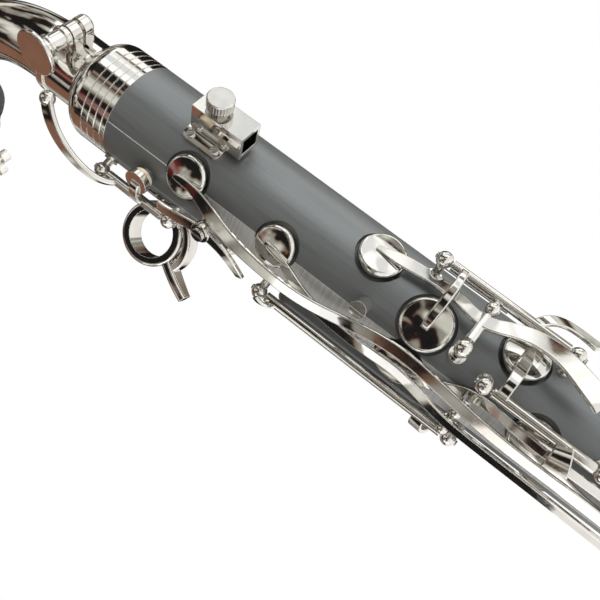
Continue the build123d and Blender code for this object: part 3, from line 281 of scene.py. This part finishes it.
PADDED_KEYS = ("first", "second", "third", "fourth", "fifth", "sixth")
PADDED = {f"{name}_finger_plate" for name in PADDED_KEYS}
PADDED |= {"thumb_plate", "low_f_key", "low_e_key", "low_e_flat_key", "register_neck_lever"}


def pieces_of(mesh):
    """Faces of a mesh, by the separate solid they belong to; the widest solid comes first."""
    spots = {}
    owner = list(range(len(mesh.vertices)))

    def root(index):
        while owner[index] != index:
            owner[index] = owner[owner[index]]
            index = owner[index]
        return index

    for vertex in mesh.vertices:
        key = tuple(round(c, 7) for c in vertex.co)
        owner[root(vertex.index)] = root(spots.setdefault(key, vertex.index))
    for face in mesh.polygons:
        first = root(face.vertices[0])
        for other in face.vertices[1:]:
            owner[root(other)] = first
    pieces = {}
    for face in mesh.polygons:
        pieces.setdefault(root(face.vertices[0]), []).append(face)

    def width(faces):
        corners = [mesh.vertices[i].co for face in faces for i in face.vertices]
        return sum(max(c[axis] for c in corners) - min(c[axis] for c in corners) for axis in range(3))

    return sorted(pieces.values(), key=width, reverse=True)


def finish_node(node, thing):
    """Gives a CAD node its material. A key that holds its pad gets the pad's skin on it."""
    mesh = thing.data
    mesh.materials.clear()
    mesh.materials.append(MATERIALS[SLOT_OF[node]])
    if node in PADDED:
        mesh.materials.append(MATERIALS["pad_skin"])
        for faces in pieces_of(mesh)[1:]:
            for face in faces:
                face.material_index = 1


for node, thing in frame["nodes"].items():
    finish_node(node, thing)


# ------------------------------------------------------------------ camera, light and floor
def outward(angle):
    return Vector((math.sin(angle), -math.cos(angle), 0))


def add_camera():
    toward = outward(CAMERA_ANGLE)
    forward = -toward
    right = Vector((math.cos(CAMERA_ANGLE), math.sin(CAMERA_ANGLE), 0))
    up = Vector((0, 0, 1))
    pan = Matrix.Rotation(CAMERA_PAN, 3, up)
    forward, right = pan @ forward, pan @ right
    tilt = Matrix.Rotation(CAMERA_TILT, 3, right)
    forward, up = tilt @ forward, tilt @ up
    roll = Matrix.Rotation(CAMERA_ROLL, 3, forward)
    right, up = roll @ right, roll @ up
    data = bpy.data.cameras.new("camera")
    data.lens = CAMERA_LENS
    data.sensor_width = CAMERA_SENSOR
    data.clip_start = 0.01
    camera = bpy.data.objects.new("camera", data)
    bpy.context.scene.collection.objects.link(camera)
    turn = Matrix((right, up, -forward)).transposed().to_4x4()
    spot = toward * CAMERA_DISTANCE + Vector((0, 0, CAMERA_HEIGHT))
    camera.matrix_world = Matrix.Translation(spot) @ turn
    bpy.context.scene.camera = camera


def add_lamp(name, angle, distance, height, size, power, colour, mirrored):
    """A soft rectangular lamp, aimed at the axis at the camera's height."""
    spot = outward(math.radians(angle)) * distance + Vector((0, 0, height))
    target = Vector((0, 0, CAMERA_HEIGHT))
    data = bpy.data.lights.new(name, "AREA")
    data.shape = "RECTANGLE"
    data.size, data.size_y = size
    data.energy = power
    data.color = colour
    light = bpy.data.objects.new(name, data)
    bpy.context.scene.collection.objects.link(light)
    aim = (target - spot).to_track_quat("-Z", "Y")
    light.location = spot
    light.rotation_euler = aim.to_euler()
    light.visible_glossy = mirrored


# Coloured things in the room that polished metal reflects: direction, edge as a cosine, colour
ROOM_PATCHES = (
    ((-0.465, 0.671, 0.584), 0.955, (0.26, 0.13, 0.085)),
    ((-0.80, -0.10, 0.55), 0.984, (0.20, 0.03, 0.025)),
)


# Tones of the room, by where they start in the noise: mostly dark, then warm browns, then pale
ROOM_TONES = (
    (0.0, (0.010, 0.010, 0.012)),
    (0.465, (0.016, 0.015, 0.015)),
    (0.475, (0.12, 0.045, 0.030)),
    (0.495, (0.26, 0.20, 0.14)),
    (0.505, (0.28, 0.27, 0.24)),
    (0.565, (0.44, 0.43, 0.39)),
    (0.590, (0.70, 0.69, 0.63)),
    (0.72, (0.98, 0.97, 0.91)),
)
PATCH_SOFTNESS = 0.02


def add_room():
    """Surroundings: plain white to the camera, and bright and dark shapes in reflections."""
    world = bpy.data.worlds.new("room")
    bpy.context.scene.world = world
    world.use_nodes = True
    nodes, links = world.node_tree.nodes, world.node_tree.links
    background = nodes["Background"]
    place = nodes.new("ShaderNodeTexCoord").outputs["Generated"]
    noise = nodes.new("ShaderNodeTexNoise")
    noise.inputs["Scale"].default_value = 3.0
    noise.inputs["Detail"].default_value = 1.5
    noise.inputs["Distortion"].default_value = 0.6
    links.new(place, noise.inputs["Vector"])
    ramp = nodes.new("ShaderNodeValToRGB")
    elements = ramp.color_ramp.elements
    while len(elements) < len(ROOM_TONES):
        elements.new(0.5)
    for element, (spot, colour) in zip(elements, ROOM_TONES):
        element.position = spot
        element.color = (*colour, 1.0)
    links.new(noise.outputs["Fac"], ramp.inputs["Fac"])
    seen = ramp.outputs["Color"]
    for direction, edge, colour in ROOM_PATCHES:
        facing = nodes.new("ShaderNodeVectorMath")
        facing.operation = "DOT_PRODUCT"
        facing.inputs[1].default_value = Vector(direction).normalized()
        links.new(place, facing.inputs[0])
        inside = nodes.new("ShaderNodeMapRange")
        inside.inputs["From Min"].default_value = edge
        inside.inputs["From Max"].default_value = edge + PATCH_SOFTNESS
        links.new(facing.outputs["Value"], inside.inputs["Value"])
        patch = nodes.new("ShaderNodeMix")
        patch.data_type = "RGBA"
        links.new(inside.outputs["Result"], patch.inputs["Factor"])
        links.new(seen, patch.inputs[6])
        patch.inputs[7].default_value = (*colour, 1.0)
        seen = patch.outputs[2]
    path = nodes.new("ShaderNodeLightPath")
    mix = nodes.new("ShaderNodeMix")
    mix.data_type = "RGBA"
    links.new(path.outputs["Is Camera Ray"], mix.inputs["Factor"])
    links.new(seen, mix.inputs[6])
    mix.inputs[7].default_value = (1.0, 1.0, 1.0, 1.0)
    links.new(mix.outputs[2], background.inputs["Color"])
    background.inputs["Strength"].default_value = 1.0


def add_floor():
    """Plain pale floor that the peg's foot stands on."""
    mesh = bpy.data.meshes.new("floor")
    shape = bmesh.new()
    bmesh.ops.create_circle(shape, cap_ends=True, segments=96, radius=FLOOR_RADIUS)
    shape.to_mesh(mesh)
    shape.free()
    floor = bpy.data.objects.new("floor", mesh)
    floor.location = (0, 0, cad_low[2])
    bpy.context.scene.collection.objects.link(floor)
    s = Shader("floor", roughness=0.8)
    s.paint(s.blend(s.ramp(s.noise(6), 0.3, 0.7), (0.86, 0.86, 0.86), (0.90, 0.90, 0.90)))
    s.set("Emission Color", (1, 1, 1, 1))
    s.set("Emission Strength", FLOOR_GLOW)
    mesh.materials.append(s.material)


add_camera()
add_room()
add_floor()
for name, lamp in LAMPS.items():
    add_lamp(name, *lamp)
bpy.context.scene.view_settings.view_transform = "Standard"
